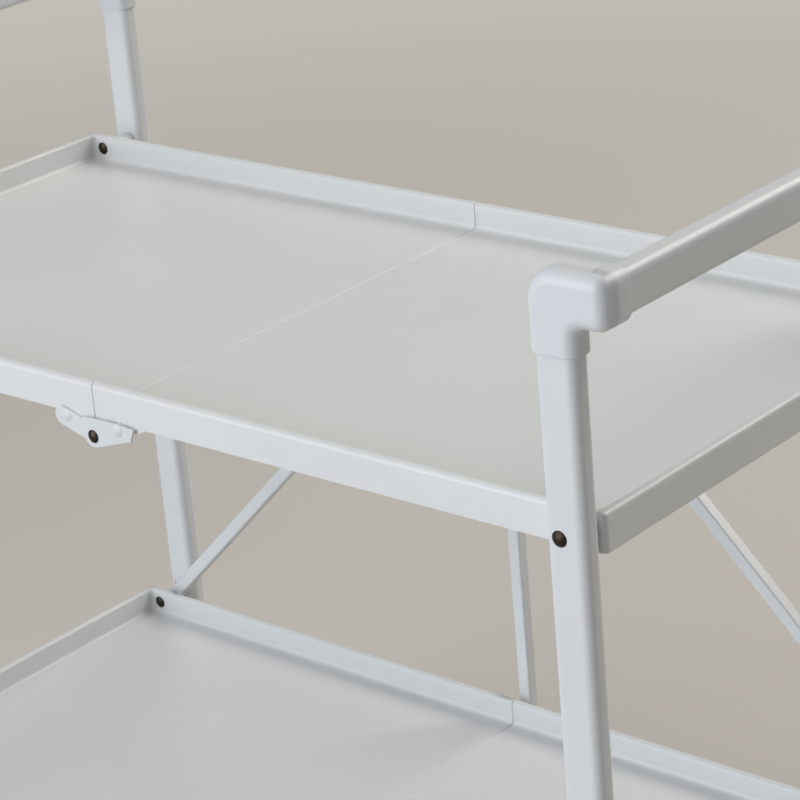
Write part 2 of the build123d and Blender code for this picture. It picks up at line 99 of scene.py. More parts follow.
# %% Lengths of the linkage
PIVOT_INSET, PIVOT_DROP = 18.6, 11.6
FLANGE_HEIGHT, HINGE_DROP = 27.0, 39.5
PIN_BELOW_FLANGE = HINGE_DROP - FLANGE_HEIGHT
STRUT_LINE = 16.0  # from a tray's back face to the middle of the strut and the braces
pivot_x = pan_high.x - PIVOT_INSET
print("pivots at x", round(pivot_x, 1), "mm, pins", PIN_BELOW_FLANGE, "mm below the flanges")

# %% [markdown]
# ## Finishes
# Colours are written as they look on a screen, in sRGB, and one function
# turns them to the linear values that shaders use. One small function adds
# a node with its settings and its links. No real coat is quite even.
# Pictures laid on the pieces could show that, but noise made in the shader
# needs no file and no unwrapping, and its patches keep their true size on
# every piece.

# %% Colour and node helpers
def srgb(code):
    """The linear colour of a screen colour like #RRGGBB, with full alpha."""
    parts = [int(code[i : i + 2], 16) / 255 for i in (1, 3, 5)]
    linear = [p / 12.92 if p <= 0.04045 else ((p + 0.055) / 1.055) ** 2.4 for p in parts]
    return (*linear, 1.0)


def add(material, kind, settings=None, links=None):
    """Adds a node. A setting names an input socket, by name or number, or a property."""
    node = material.node_tree.nodes.new(kind)
    for key, value in (settings or {}).items():
        if isinstance(key, int) or key in node.inputs:
            node.inputs[key].default_value = value
        else:
            setattr(node, key, value)
    for key, source in (links or {}).items():
        material.node_tree.links.new(source, node.inputs[key])
    return node


def start_finish(name, settings):
    """A new material with one shader. Its even values sit on the shader's own sockets."""
    material = bpy.data.materials.new(name)
    material.use_nodes = True
    material.node_tree.nodes.clear()
    shader = add(material, "ShaderNodeBsdfPrincipled", settings)
    add(material, "ShaderNodeOutputMaterial", links={"Surface": shader.outputs["BSDF"]})
    place = add(material, "ShaderNodeTexCoord").outputs["Object"]
    return material, shader, place


def join_up(material, shader, colour, roughness, normal):
    """Links the three values that vary over a piece to its shader."""
    for socket, source in (("Base Color", colour), ("Roughness", roughness), ("Normal", normal)):
        material.node_tree.links.new(source, shader.inputs[socket])
    return material


def per_metre(millimetres):
    """The noise scale that gives patches this large on a piece drawn in metres."""
    return 1000.0 / millimetres


print("white is", [round(v, 3) for v in srgb("#DFE3E6")])

# %% [markdown]
# ### White powder coat on folded steel
# Dry polyester powder is sprayed on and melted in an oven. It flows almost
# smooth, but keeps a fine orange peel not 2 mm across, and a finer grain
# that glitters where light grazes an edge. The coat is satin, not glossy.
# Two noise patterns make the skin and the grain, and a large soft one
# shifts the colour a little, as film thickness does.

# %% Powder coat
DRIFT_SIZE, PEEL_SIZE = 90, 1.8
GRAIN_SIZE = 0.7  # coarser than the real grain, so that it shows
GRAIN_SHARE = 0.2  # the grain's depth, as a share of the peel's
SATIN = {"From Min": 0.3, "From Max": 0.7, "To Min": 0.33, "To Max": 0.43}


def powder_coat(name, light, dark, peel_depth):
    coat, shader, place = start_finish(name, {"IOR": 1.5})
    wide = {"Scale": per_metre(DRIFT_SIZE), "Detail": 2.0}
    drift = add(coat, "ShaderNodeTexNoise", wide, {"Vector": place}).outputs["Fac"]
    small = {"Scale": per_metre(PEEL_SIZE), "Detail": 1.0}
    peel = add(coat, "ShaderNodeTexNoise", small, {"Vector": place}).outputs["Fac"]
    fine = {"Scale": per_metre(GRAIN_SIZE), "Detail": 1.0}
    grain = add(coat, "ShaderNodeTexNoise", fine, {"Vector": place}).outputs["Fac"]
    tones = {"data_type": "RGBA", 6: srgb(light), 7: srgb(dark)}
    colour = add(coat, "ShaderNodeMix", tones, {0: drift}).outputs[2]
    gloss = add(coat, "ShaderNodeMapRange", SATIN, {"Value": peel}).outputs["Result"]
    waves = {"Strength": 1.0, "Distance": peel_depth * MM}
    skin = add(coat, "ShaderNodeBump", waves, {"Height": peel}).outputs["Normal"]
    specks = {"Strength": 1.0, "Distance": GRAIN_SHARE * peel_depth * MM}
    sparkle = add(coat, "ShaderNodeBump", specks, {"Height": grain, "Normal": skin})
    return join_up(coat, shader, colour, gloss, sparkle.outputs["Normal"])


coated_tube = powder_coat("white_powder_coated_steel_tube", "#DCDFE1", "#D7DADD", 0.08)
coated_sheet = powder_coat("white_powder_coated_steel_sheet", "#E1E3E3", "#DCDEDE", 0.12)
print("finishes:", coated_tube.name, coated_sheet.name)

# %% [markdown]
# ### Moulded nylon
# Elbows, foot plugs, spacers, yokes and the sliding collar are injection
# moulded. The mould was spark eroded, which leaves a fine matt grain, and
# the plastic lets a little light in, so its edges look softer than painted
# steel. The wheels are moulded in two greys, a matt tread round a smoother
# core.

# %% Moulded plastic
FLOW_SIZE, MATT_DEPTH, SHEEN_DRIFT = 35, 0.018, 0.04
MATT_SIZE = 0.8  # coarser than the real grain, so that it shows


def moulded_plastic(name, light, dark, rough):
    settings = {
        "IOR": 1.49,
        "Subsurface Weight": 0.3,
        "Subsurface Radius": (1.0, 0.9, 0.8),
        "Subsurface Scale": 2.5 * MM,
    }
    plastic, shader, place = start_finish(name, settings)
    wide = {"Scale": per_metre(FLOW_SIZE), "Detail": 2.0}
    flow = add(plastic, "ShaderNodeTexNoise", wide, {"Vector": place}).outputs["Fac"]
    fine = {"Scale": per_metre(MATT_SIZE), "Detail": 1.5}
    grain = add(plastic, "ShaderNodeTexNoise", fine, {"Vector": place}).outputs["Fac"]
    tones = {"data_type": "RGBA", 6: srgb(light), 7: srgb(dark)}
    colour = add(plastic, "ShaderNodeMix", tones, {0: flow}).outputs[2]
    low, high = rough - SHEEN_DRIFT, rough + SHEEN_DRIFT
    span = {"From Min": 0.3, "From Max": 0.7, "To Min": low, "To Max": high}
    gloss = add(plastic, "ShaderNodeMapRange", span, {"Value": flow}).outputs["Result"]
    depth = {"Strength": 1.0, "Distance": MATT_DEPTH * MM}
    matt = add(plastic, "ShaderNodeBump", depth, {"Height": grain}).outputs["Normal"]
    return join_up(plastic, shader, colour, gloss, matt)


white_nylon = moulded_plastic("white_moulded_nylon", "#DDE0E3", "#D7DBDF", 0.38)
grey_rubber = moulded_plastic("grey_moulded_tread_rubber", "#8B8E90", "#7E8183", 0.62)
grey_hub = moulded_plastic("pale_grey_moulded_wheel_core", "#B9BCBE", "#AEB1B4", 0.45)
print("finishes:", white_nylon.name, grey_rubber.name, grey_hub.name)

# %% [markdown]
# ### Rivets and plated steel
# The rivets and the hinge pins are steel, blackened and then burnished by
# the riveting tool, so they are dark bronze with brighter rubbed patches.
# The caster axles are zinc plated and passivated: a grey metal with a faint
# cloudy spangle.

# %% Metals
PIT_SIZE = 0.6  # coarser than the real pits, so that they show


def bare_metal(name, light, dark, patch, rough_low, rough_high, depth):
    metal, shader, place = start_finish(name, {"Metallic": 1.0})
    patches = {"Scale": per_metre(patch), "Detail": 4.0}
    cloud = add(metal, "ShaderNodeTexNoise", patches, {"Vector": place}).outputs["Fac"]
    fine = {"Scale": per_metre(PIT_SIZE), "Detail": 2.0}
    pits = add(metal, "ShaderNodeTexNoise", fine, {"Vector": place}).outputs["Fac"]
    tones = {"data_type": "RGBA", 6: srgb(light), 7: srgb(dark)}
    colour = add(metal, "ShaderNodeMix", tones, {0: cloud}).outputs[2]
    span = {"From Min": 0.3, "From Max": 0.7, "To Min": rough_low, "To Max": rough_high}
    gloss = add(metal, "ShaderNodeMapRange", span, {"Value": cloud}).outputs["Result"]
    deep = {"Strength": 1.0, "Distance": depth * MM}
    dents = add(metal, "ShaderNodeBump", deep, {"Height": pits}).outputs["Normal"]
    return join_up(metal, shader, colour, gloss, dents)


bronze = bare_metal("blackened_burnished_rivet_steel", "#4E463D", "#322C26", 2.5, 0.34, 0.52, 0.03)
zinc = bare_metal("zinc_plated_passivated_steel", "#C4C6C8", "#A9ACAF", 6.0, 0.28, 0.45, 0.015)

# %% [markdown]
# ## Drawing helpers
# Four shapes carry most of the cart: a block with rounded edges, a lathed
# turning, a flat plate wrapped round circles, and copies of these gathered
# in one mesh. Each helper starts from a bmesh operator. Bent sheet and
# drawn tube have round edges, so the block comes first: its edges are
# bevelled in the mesh, and not only in the shading, because the meshes are
# used without their materials too.

# %% Blocks and rounded edges
def block(low, high):
    bm = bmesh.new()
    bmesh.ops.create_cube(bm, size=1.0)
    bmesh.ops.scale(bm, vec=[b - a for a, b in zip(low, high)], verts=bm.verts)
    bmesh.ops.translate(bm, vec=[(a + b) / 2 for a, b in zip(low, high)], verts=bm.verts)
    return bm


def edges_where(bm, test):
    """Edges whose middle and unit direction pass a test."""
    found = []
    for edge in bm.edges:
        start, stop = (v.co for v in edge.verts)
        if test((start + stop) / 2, (stop - start).normalized()):
            found.append(edge)
    return found


def along(bm, axis, test=lambda spot: True):
    """Edges that run along an axis and whose middle passes a test."""
    return edges_where(bm, lambda spot, way: abs(way[axis]) > 0.999 and test(spot))


def faces_towards(bm, axis, sign):
    return [face for face in bm.faces if sign * face.normal[axis] > 0.999]


def round_off(bm, edges, radius, segments):
    bmesh.ops.bevel(
        bm,
        geom=edges,
        offset=radius,
        offset_type="OFFSET",
        segments=segments,
        profile=0.5,
        affect="EDGES",
        material=-1,
        clamp_overlap=False,
    )


def cut_across(bm, axis, place, **sides):
    """Cuts a bmesh with a plane square to an axis. The sides may be cleared."""
    point, normal = Vector(), Vector()
    point[axis], normal[axis] = place, 1.0
    geom = bm.verts[:] + bm.edges[:] + bm.faces[:]
    return bmesh.ops.bisect_plane(bm, geom=geom, plane_co=point, plane_no=normal, **sides)


test_block = block((0, 0, 0), (10, 10, 10))
round_off(test_block, along(test_block, 2), 2, segments=4)
print("a block with four rounded edges has", len(test_block.faces), "faces")
test_block.free()

# %% [markdown]
# Rivets, pins, rings and wheels come off a lathe or out of a round mould,
# so their profile is spun round an axis. Hinge leaves are stamped plates
# with round lobes. A curve could draw their outline, but a convex hull
# round a few circles does it from the lobes' places and radii alone.

# %% Turnings, plates and gathering
def lathe(profile, steps=40):
    """Spins a profile of (radius, height) points once round the Z axis."""
    bm = bmesh.new()
    verts = [bm.verts.new((r, 0, h)) for r, h in profile]
    edges = [bm.edges.new(pair) for pair in zip(verts, verts[1:])]
    bmesh.ops.spin(
        bm,
        geom=verts + edges,
        cent=(0, 0, 0),
        axis=(0, 0, 1),
        angle=math.tau,
        steps=steps,
        use_merge=True,
    )
    bmesh.ops.remove_doubles(bm, verts=bm.verts, dist=0.001)
    return bm


def dome(radius, base, height, lip=0.3, steps=7):
    """Profile of a low domed head, from the edge of its small upright lip to its top."""
    rise = height - lip
    bend = (radius**2 + rise**2) / (2 * rise)
    span = math.asin(radius / bend)
    points = [(radius, base), (radius, base + lip)]
    for step in range(1, steps + 1):
        angle = span * (1 - step / steps)
        points.append((bend * math.sin(angle), base + height - bend * (1 - math.cos(angle))))
    return points


def wrapped_plate(rounds, low_y, high_y, soft=0.0):
    """A plate with its outline stretched round circles (x, z, radius), and softened rims."""
    bm = bmesh.new()
    for y in (low_y, high_y):
        for x, z, radius in rounds:
            if radius:
                turn = Matrix.Translation((x, y, z)) @ Matrix.Rotation(math.pi / 2, 4, "X")
                bmesh.ops.create_circle(bm, segments=40, radius=radius, matrix=turn)
            else:
                bmesh.ops.create_vert(bm, co=(x, y, z))
    bmesh.ops.convex_hull(bm, input=bm.verts)
    loose = [vert for vert in bm.verts if not vert.link_faces]
    bmesh.ops.delete(bm, geom=loose, context="VERTS")
    bmesh.ops.dissolve_limit(bm, angle_limit=math.radians(0.5), verts=bm.verts, edges=bm.edges)
    if soft:
        rims = edges_where(bm, lambda spot, way: abs(way.y) < 0.01)
        round_off(bm, rims, soft, segments=2)
    return bm


def gather(parts):
    """One bmesh from several."""
    whole = bmesh.new()
    for bm in parts:
        mesh = bpy.data.meshes.new("gathering")
        bm.to_mesh(mesh)
        bm.free()
        whole.from_mesh(mesh)
        bpy.data.meshes.remove(mesh)
    return whole


def set_out(bm, end, x, distance, z):
    """Turns a piece drawn up the Z axis to point out of a tray's front or back face."""
    turn = Matrix.Rotation(math.radians(-90 * ENDS[end]), 4, "X")
    shift = Matrix.Translation((x, face_y[end] + ENDS[end] * distance, z))
    bmesh.ops.transform(bm, matrix=shift @ turn, verts=bm.verts)
    return bm


test_head = lathe([(0, 0), (3, 0)] + dome(3, 0, 1.2))
print("a lathed head has", len(test_head.faces), "faces")
test_head.free()

# %% [markdown]
# A finished piece gets its mesh in metres, smooth shading that stops at
# true edges, and weighted normals, which keep large flats flat next to
# their soft edges. It rides on the body of the node that it stands for.

# %% Finishing a piece
def finish_piece(bm, name, node, finish, sheet=None, smooth=40.0):
    """Makes an object of a bmesh. A sheet is an open skin that gets a wall inwards."""
    if not sheet:
        bmesh.ops.recalc_face_normals(bm, faces=bm.faces)
    bmesh.ops.scale(bm, vec=(MM, MM, MM), verts=bm.verts)
    mesh = bpy.data.meshes.new(name)
    bm.to_mesh(mesh)
    bm.free()
    for material in finish if isinstance(finish, list) else [finish]:
        mesh.materials.append(material)
    mesh.shade_smooth()
    mesh.set_sharp_from_angle(angle=math.radians(smooth))
    piece = bpy.data.objects.new(name, mesh)
    bpy.context.scene.collection.objects.link(piece)
    if sheet:
        wall = piece.modifiers.new("sheet_thickness", "SOLIDIFY")
        wall.thickness = sheet * MM
        wall.offset = -1.0
        wall.use_even_offset = True
    weigh = piece.modifiers.new("flats_stay_flat", "WEIGHTED_NORMAL")
    weigh.keep_sharp = True
    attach(piece, BODY_OF[node])
    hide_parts(node)


print("bodies to ride on:", len(set(BODY_OF.values())))

# %% [markdown]
# ## Camera, lamps and floor
# The camera stands where the photographer stood: 2 m off, a little above
# the upper tray, behind a long lens, and rolled by a few degrees. Its place
# was fitted to the corners of the tray, the seam and the rivets, so that
# the picture can be laid over the photograph.

# %% Camera
camera = bpy.data.objects.new("camera", bpy.data.cameras.new("camera"))
bpy.context.scene.collection.objects.link(camera)
camera.data.sensor_width = 36.0
camera.data.lens = 130.14
camera.location = (1.4316, -1.5127, 1.4351)
camera.rotation_euler = Euler([math.radians(a) for a in (67.844, 4.692, 39.819)], "XYZ")
bpy.context.scene.camera = camera
elbow_place = Vector((0.43, -0.25, 0.8))
print("camera is", round((camera.location - elbow_place).length, 2), "m from the elbow")

# %% [markdown]
# The light in the photograph is soft and comes from a window to the left
# and front, so the front faces are bright and the right-hand faces fall to
# grey. A sun or a spot would draw hard shadows, so the lamps are broad
# squares. One behind the cart on the right lights the decks and the tops
# of the tubes, and a weak one overhead lifts the shadows.

# %% Lamps
def soft_lamp(name, place, target, size, power, tint):
    """A square lamp, in metres and watts, turned towards a target."""
    lamp = bpy.data.lights.new(name, "AREA")
    lamp.shape = "SQUARE"
    lamp.size = size
    lamp.energy = power
    lamp.color = srgb(tint)[:3]
    stand = bpy.data.objects.new(name, lamp)
    stand.location = place
    stand.rotation_euler = (Vector(target) - Vector(place)).to_track_quat("-Z", "Y").to_euler()
    bpy.context.scene.collection.objects.link(stand)


soft_lamp("window", (-1.7, -4.8, 2.1), (0, 0, 0.9), 5.0, 258, "#F1F6FF")
soft_lamp("far ceiling", (1.33, 3.08, 3.1), (0.45, 0, 0.7), 2.1, 106, "#FFFAF4")
soft_lamp("near ceiling", (-0.4, -0.9, 3.2), (0, 0, 0.6), 2.4, 15, "#FFFAEC")
bpy.context.scene.view_settings.view_transform = "Standard"

# %% [markdown]
# The room is even pale light, which fills the shadows as white walls do.
# A camera ray that leaves the floor sees one plain colour instead, so that
# the light of the room can change without changing the backdrop.

# %% Room
BACKDROP = srgb("#C2BEB6")
world = bpy.data.worlds.new("pale_room")
bpy.context.scene.world = world
world.use_nodes = True
world.node_tree.nodes.clear()
room = add(world, "ShaderNodeBackground", {"Color": srgb("#F2F1EE"), "Strength": 0.2})
wall = add(world, "ShaderNodeBackground", {"Color": BACKDROP, "Strength": 1.0})
seen = add(world, "ShaderNodeLightPath").outputs["Is Camera Ray"]
sources = {0: seen, 1: room.outputs[0], 2: wall.outputs[0]}
sky = add(world, "ShaderNodeMixShader", links=sources)
add(world, "ShaderNodeOutputWorld", links={"Surface": sky.outputs[0]})
print("room colour:", [round(v, 2) for v in BACKDROP[:3]])

# %% [markdown]
# The floor is plain, pale and matt, and its faint clouds keep it from
# looking like paper. However large it is, its far edge would draw a line.
# So it fades to the backdrop's colour away from the cart, but only for the
# camera, and it still catches shadows and throws light up.

# %% Floor
FADE_START, FADE_END, FLOOR_REACH, CLOUD_SIZE = 0.9, 4.0, 20.0, 400
paint, matt, spot = start_finish("pale_matt_floor", {"Roughness": 0.85})
wide = {"Scale": per_metre(CLOUD_SIZE), "Detail": 2.0}
clouds = add(paint, "ShaderNodeTexNoise", wide, {"Vector": spot}).outputs["Fac"]
tones = {"data_type": "RGBA", 6: srgb("#CFCBC4"), 7: srgb("#CBC7C0")}
tint = add(paint, "ShaderNodeMix", tones, {0: clouds}).outputs[2]
paint.node_tree.links.new(tint, matt.inputs["Base Color"])
away = add(paint, "ShaderNodeVectorMath", {"operation": "LENGTH"}, {0: spot}).outputs["Value"]
settings = {"interpolation_type": "SMOOTHSTEP", "From Min": FADE_START, "From Max": FADE_END}
fade = add(paint, "ShaderNodeMapRange", settings, {"Value": away}).outputs["Result"]
seen = add(paint, "ShaderNodeLightPath").outputs["Is Camera Ray"]
share = add(paint, "ShaderNodeMath", {"operation": "MULTIPLY"}, {0: fade, 1: seen})
glow = add(paint, "ShaderNodeEmission", {"Color": BACKDROP, "Strength": 1.0})
sources = {0: share.outputs["Value"], 1: matt.outputs["BSDF"], 2: glow.outputs["Emission"]}
faded = add(paint, "ShaderNodeMixShader", links=sources)
surface = paint.node_tree.nodes["Material Output"].inputs["Surface"]
paint.node_tree.links.new(faded.outputs["Shader"], surface)
ground = bmesh.new()
bmesh.ops.create_grid(ground, x_segments=1, y_segments=1, size=FLOOR_REACH)
floor_mesh = bpy.data.meshes.new("floor")
ground.to_mesh(floor_mesh)
ground.free()
floor_mesh.materials.append(paint)
floor = bpy.data.objects.new("floor", floor_mesh)
bpy.context.scene.collection.objects.link(floor)
print("floor laid at z = 0")

# %% [markdown]
# ## Tray halves
# Each half is one pressed and folded sheet. The sheet rises from the deck,
# rolls over a rim 8 mm wide and comes down outside as a deep flange. A
# whole tray is drawn as a block with a sunk top, its edges are rounded to
# the sheet's bend radii, and it is cut at the seam. The end there is closed
# by a lip. Solidify then gives the skin its sheet thickness, inwards.

# %% Tray halves
RIM_WIDTH, DECK_DROP, SHEET = 8.0, 21.7, 0.9
RIM_BEND, OUTER_BEND, DECK_BEND, SEAM_BEND = 3.0, 4.2, 4.0, 0.9


def tray_sheet(low, high):
    """A right-hand half, drawn as a whole tray and cut at the seam."""
    near, far = low.x, high.x
    top = high.z
    centre_y = (low.y + high.y) / 2
    half_depth = (high.y - low.y) / 2
    bm = block((-far, low.y, low.z), (far, high.y, top))
    bmesh.ops.delete(bm, geom=faces_towards(bm, 2, -1), context="FACES_ONLY")
    basin = faces_towards(bm, 2, 1)
    bmesh.ops.inset_individual(bm, faces=basin, thickness=RIM_WIDTH, use_even_offset=True)
    deck = bmesh.ops.extrude_discrete_faces(bm, faces=basin)["faces"][0]
    bmesh.ops.translate(bm, vec=(0, 0, -DECK_DROP), verts=deck.verts)

    def is_outer(spot):
        return abs(spot.x) > far - 1 or abs(spot.y - centre_y) > half_depth - 1

    def is_low(spot):
        return spot.z < low.z + 1

    outside = edges_where(bm, lambda spot, way: is_outer(spot) and not is_low(spot))
    round_off(bm, outside, OUTER_BEND, segments=7)
    floor_z = top - DECK_DROP
    inside = edges_where(
        bm,
        lambda spot, way: not is_outer(spot)
        and (spot.z < floor_z + 0.5 or (abs(way.z) > 0.99 and abs(spot.x) > far - RIM_WIDTH - 1)),
    )
    round_off(bm, inside, DECK_BEND, segments=6)
    wall_x, wall_y = far - RIM_WIDTH, half_depth - RIM_WIDTH
    brim = edges_where(
        bm,
        lambda spot, way: spot.z > top - 0.01
        and abs(way.z) < 0.01
        and abs(spot.x) < wall_x + 0.01
        and abs(spot.y - centre_y) < wall_y + 0.01,
    )
    round_off(bm, brim, RIM_BEND, segments=5)
    cut_across(bm, 0, near, clear_inner=True)
    close_seam(bm, near, low.z)
    return bm


def close_seam(bm, near, lowest):
    """Closes the cut end with a lip, and bends the sheet softly round its edges."""
    feet = [v for v in bm.verts if abs(v.co.x - near) < 0.01 and v.co.z < lowest + 0.01]
    bmesh.ops.contextual_create(bm, geom=feet)
    border = edges_where(bm, lambda spot, way: abs(spot.x - near) < 0.01)
    bmesh.ops.contextual_create(bm, geom=border)
    folds = edges_where(bm, lambda spot, way: abs(spot.x - near) < 0.01)
    folds = [edge for edge in folds if len(edge.link_faces) == 2]
    round_off(bm, folds, SEAM_BEND, segments=3)


print("a tray's sheet is", SHEET, "mm thick")

# %% [markdown]
# On the right-hand halves the lip leaves a fine line across the rims. It is
# a shallow groove, pressed in along the lip's inner edge.

# %% Pressed groove and the four halves
LIP_WIDTH, GROOVE_WIDTH, GROOVE_DEPTH = 3.4, 0.8, 0.3


def press_groove(bm, x, lowest):
    """Presses a groove across the rims and flanges, but not across the deck."""
    for place in (x - GROOVE_WIDTH / 2, x, x + GROOVE_WIDTH / 2):
        cut_across(bm, 0, place)
    bm.normal_update()
    for vert in bm.verts:
        on_deck = vert.co.z < lowest and abs(vert.normal.z) > 0.5
        if abs(vert.co.x - x) < 0.001 and not on_deck:
            vert.co -= GROOVE_DEPTH * vert.normal


for level in LEVELS:
    low, high = corners(f"{level}_right_tray_pan")
    for side, sign in SIDES.items():
        bm = tray_sheet(low, high)
        if side == "right":
            press_groove(bm, low.x + LIP_WIDTH, high.z - DECK_DROP / 2)
        bm.normal_update()
        if side == "left":
            bmesh.ops.scale(bm, vec=(-1, 1, 1), verts=bm.verts)
            bmesh.ops.reverse_faces(bm, faces=bm.faces)
        name = f"{level}_{side}_tray"
        finish_piece(bm, f"{name}_sheet", f"{name}_pan", coated_sheet, sheet=SHEET)
print("tray halves:", 4)

# %% [markdown]
# ## Legs, handles and cross tubes
# These are welded steel tubes, rolled to a flat rounded section. The box of
# the node gives their length and section, and four long edges are rounded
# to the tube's corner radius. Each cross tube ends in a painted-over weld.

# %% Round-cornered tubes
TUBE_CORNER, CROSS_CORNER = 7.0, 4.0
WELD_WIDTH, WELD_SWELL, WELD_CORNER, WELD_ROUND = 2.2, 1.3, 5.0, 1.6


def rounded_tube(low, high, axis, corner, segments=10):
    bm = block(low, high)
    round_off(bm, along(bm, axis), corner, segments)
    return bm


def weld_bead(low, high, y, sign):
    """A soft collar of weld where a cross tube meets its leg."""
    edge = y + sign * WELD_WIDTH
    near = (low.x - WELD_SWELL, min(y, edge), low.z - WELD_SWELL)
    far = (high.x + WELD_SWELL, max(y, edge), high.z + WELD_SWELL)
    bm = rounded_tube(near, far, 1, WELD_CORNER)
    rim = edges_where(bm, lambda spot, way: abs(way.y) < 0.01 and abs(spot.y - edge) < 0.01)
    round_off(bm, rim, WELD_ROUND, segments=4)
    return bm


for side in SIDES:
    for part, axis in (("front_leg", 2), ("back_leg", 2), ("handle", 1)):
        node = f"{side}_{part}"
        tube = rounded_tube(*corners(node), axis, TUBE_CORNER)
        finish_piece(tube, f"{node}_tube", node, coated_tube)
    node = f"{side}_crossbar"
    low, high = corners(node)
    parts = [rounded_tube(low, high, 1, CROSS_CORNER)]
    parts += [weld_bead(low, high, low.y, 1), weld_bead(low, high, high.y, -1)]
    finish_piece(gather(parts), f"{node}_tube", node, coated_tube)
print("tubes:", 8)

# %% [markdown]
# ## Moulded elbows
# An elbow caps a leg, turns outwards with a big round shoulder, and then
# turns back along the handle. It is drawn as a block with a side arm in
# front view, rounded in order of size: shoulder, corners, armpit, and then
# the whole rim of the front and back. The sleeve that grips the handle is
# a second skin a hair larger, so that a fine mould line shows where the
# round front ends.

# %% Elbow block
WALL, ELBOW_SKIRT, ELBOW_REACH, ELBOW_HEIGHT, LINE = 2.5, 19.0, 42.4, 55.0, 0.08
SHOULDER, ARMPIT, RIM_ROUND = 22.0, 6.0, 9.0
SKIRT_ROUND, SKIRT_SOCKET, SKIRT_LIP = 0.7, 6.0, WALL - 0.8
ELBOW_HALF, ELBOW_DEPTH, CORNER = tube_wide / 2 + WALL, tube_thick / 2 + WALL, TUBE_CORNER + WALL


def open_mouth(bm, faces, rim, depth):
    """Sinks a socket in a flat face, and leaves a rim round it."""
    bmesh.ops.inset_individual(bm, faces=faces, thickness=rim, use_even_offset=True)
    inner = bmesh.ops.extrude_discrete_faces(bm, faces=faces)["faces"][0]
    bmesh.ops.translate(bm, vec=-depth * inner.normal, verts=inner.verts)


def elbow_block():
    """The cap of a right-hand elbow, with its foot at z = 0 and its arm towards +X."""
    half, top, reach = ELBOW_HALF - LINE, ELBOW_HEIGHT - LINE, ELBOW_REACH - LINE
    bm = block((-half, -ELBOW_DEPTH, 0), (half, ELBOW_DEPTH, top))
    cut_across(bm, 2, ELBOW_SKIRT)
    cheek = [f for f in faces_towards(bm, 0, 1) if f.calc_center_median().z > ELBOW_SKIRT]
    arm = bmesh.ops.extrude_discrete_faces(bm, faces=cheek)["faces"][0]
    bmesh.ops.translate(bm, vec=(reach - half, 0, 0), verts=arm.verts)
    bmesh.ops.dissolve_limit(bm, angle_limit=math.radians(1), verts=bm.verts, edges=bm.edges)
    shoulder = along(bm, 1, lambda p: p.x < 0 and p.z > top - 1)
    round_off(bm, shoulder, SHOULDER, segments=16)
    round_off(bm, along(bm, 1, lambda p: p.x > half + 1), CORNER, segments=12)
    armpit = along(bm, 1, lambda p: abs(p.x - half) < 1 and abs(p.z - ELBOW_SKIRT) < 1)
    round_off(bm, armpit, ARMPIT, segments=8)
    for sign in (-1, 1):
        face = max(faces_towards(bm, 1, sign), key=lambda f: f.calc_area())
        rim = [e for e in face.edges if max(v.co.z for v in e.verts) > 0.01]
        round_off(bm, rim, RIM_ROUND, segments=10)

    def foot():
        return [f for f in faces_towards(bm, 2, -1) if f.calc_center_median().z < 0.1]

    round_off(bm, list(foot()[0].edges), SKIRT_ROUND, segments=3)
    open_mouth(bm, foot(), SKIRT_LIP, SKIRT_SOCKET)
    return bm


test_block = elbow_block()
print("an elbow block has", len(test_block.faces), "faces")
test_block.free()

# %% [markdown]
# The sleeve is the elbow's straight mouth, where the handle is pushed in.
# It could be drawn with the block, but the big round rim would swallow its
# small crisp end. As a second skin in the same mesh it keeps it.

# %% Elbow sleeve and the four elbows
SLEEVE_END, SLEEVE_SOCKET, SLEEVE_LIP = 16.5, 5.0, WALL - 0.9
FRONT_ROUND, END_ROUND = 0.3, 0.8


def elbow_sleeve():
    """The sleeve round the handle, a hair larger than the block."""
    low = (ELBOW_REACH - tube_thick - 2 * WALL, RIM_ROUND - ELBOW_DEPTH, ELBOW_SKIRT - LINE)
    high = (ELBOW_REACH, SLEEVE_END, ELBOW_HEIGHT)
    bm = rounded_tube(low, high, 1, CORNER, segments=12)
    for sign, soft in ((-1, FRONT_ROUND), (1, END_ROUND)):
        face = faces_towards(bm, 1, sign)[0]
        round_off(bm, list(face.edges), soft, segments=3)
    open_mouth(bm, faces_towards(bm, 1, 1), SLEEVE_LIP, SLEEVE_SOCKET)
    return bm


for side, sign in SIDES.items():
    for end, way in ENDS.items():
        node = f"{side}_{end}_elbow"
        bm = gather([elbow_block(), elbow_sleeve()])
        bmesh.ops.scale(bm, vec=(sign, -way, 1), verts=bm.verts)
        foot = (sign * leg_x, leg_y[end], corners(node)[0].z)
        bmesh.ops.translate(bm, vec=foot, verts=bm.verts)
        finish_piece(bm, f"{node}_moulding", node, white_nylon, smooth=30)
print("elbows:", 4)

# %% [markdown]
# ## Rivets, spacers and hinge pins
# Every rivet is one turning: a shank with a domed head at each end, and a
# small upright lip where the riveting tool pressed it. A spacer fills the
# gap between a tray and a leg. At the lower back pivots a brace takes the
# middle of that gap, so two short spacers hold it.

# %% Pivot rivets and spacers
PIVOT_SHANK, PIVOT_HEAD, PIVOT_RISE = 3.0, 5.6, 2.4
SPACER, SPACER_BORE, CHAMFER = 6.0, 3.05, 0.4
BRACE_ROOM = (10.0, 22.0)


def ring(outer, inner, length):
    """A tube drawn as a closed profile that never meets the axis."""
    profile = [
        (inner, 0.0),
        (outer - CHAMFER, 0.0),
        (outer, CHAMFER),
        (outer, length - CHAMFER),
        (outer - CHAMFER, length),
        (inner, length),
        (inner, 0.0),
    ]
    return lathe(profile)


def two_headed(radius, length, head_radius, head_height):
    """A rivet whose shank starts at z = 0."""
    upper = dome(head_radius, length, head_height)
    lower = [(r, length - h) for r, h in reversed(upper)]
    return lathe(lower + [(radius, 0.0), (radius, length)] + upper)


